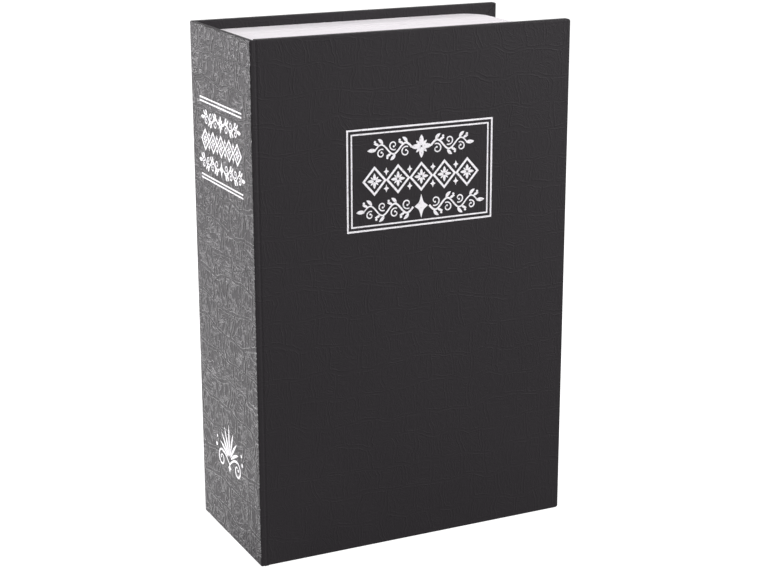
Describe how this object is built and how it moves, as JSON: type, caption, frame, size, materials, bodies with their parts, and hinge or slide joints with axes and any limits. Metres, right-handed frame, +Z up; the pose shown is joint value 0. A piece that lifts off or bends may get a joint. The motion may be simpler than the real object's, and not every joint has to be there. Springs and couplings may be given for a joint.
{
  "type": "book diversion safe",
  "caption": "Hardcover book case with a moulded page-edge frame round a lidded steel cash box with a cam lock.",
  "frame": {"origin": "centre of the closed book's box at the level it stands on", "axes": "+Z up along the spine, +X from the spine to the fore-edge, +Y from the front cover to the back cover"},
  "size_m": [0.118, 0.055, 0.18],
  "materials": {
    "cover_paper": "embossed paper, dull",
    "grey_board": "raw grey board",
    "endpaper": "smooth paper",
    "page_moulding": "satin, finely lined",
    "enamelled_steel": "powder coat",
    "zinc_plate": "zinc plated",
    "lock_chrome": "polished",
    "lock_brass": "satin"
  },
  "bodies": {
    "book": {"case_wrap": "cover_paper", "spine_card": "grey_board", "back_board": "grey_board", "page_frame": "page_moulding", "tub": "enamelled_steel", "floor_rivet_1": "zinc_plate", "floor_rivet_2": "zinc_plate", "floor_rivet_3": "zinc_plate", "floor_rivet_4": "zinc_plate", "tub_hinge_leaf": "zinc_plate", "hinge_pin": "zinc_plate", "hinge_rivet_1": "zinc_plate", "hinge_rivet_2": "zinc_plate", "hinge_rivet_3": "zinc_plate", "hinge_rivet_4": "zinc_plate", "hinge_rivet_5": "zinc_plate", "lock_strike": "zinc_plate", "strike_rivet_1": "zinc_plate", "strike_rivet_2": "zinc_plate"},
    "cover": {"front_wrap": "cover_paper", "front_board": "grey_board", "front_endpaper": "endpaper"},
    "lid": {"lid": "enamelled_steel", "lid_hinge_leaf": "zinc_plate", "lid_rivet_1": "zinc_plate", "lid_rivet_2": "zinc_plate", "lid_rivet_3": "zinc_plate", "lid_rivet_4": "zinc_plate", "lid_rivet_5": "zinc_plate", "lock_housing": "lock_chrome", "lock_nut": "zinc_plate"},
    "lock_core": {"lock_plug": "lock_brass", "lock_wafer_1": "lock_brass", "lock_wafer_2": "lock_brass", "lock_wafer_3": "lock_brass", "lock_wafer_4": "lock_brass", "lock_cam": "zinc_plate", "cam_washer": "zinc_plate", "cam_screw": "zinc_plate"}
  },
  "joints": [
    {"name": "cover_swing", "type": "hinge", "parent": "book", "child": "cover", "pos_m": [-0.05695, -0.0276, 0.09], "axis": [0, 0, -1], "range_deg": [0, 178]},
    {"name": "lid_swing", "type": "hinge", "parent": "book", "child": "lid", "pos_m": [-0.0464, -0.01915, 0.09], "axis": [0, 0, -1], "range_deg": [0, 89]},
    {"name": "lock_turn", "type": "hinge", "parent": "lid", "child": "lock_core", "pos_m": [0.019, -0.0223, 0.09], "axis": [0, 1, 0], "range_deg": [0, 90]}
  ],
  "couplings": [
    {"joint": "lid_swing", "follows": "cover_swing", "ratio": 0.5}
  ]
}
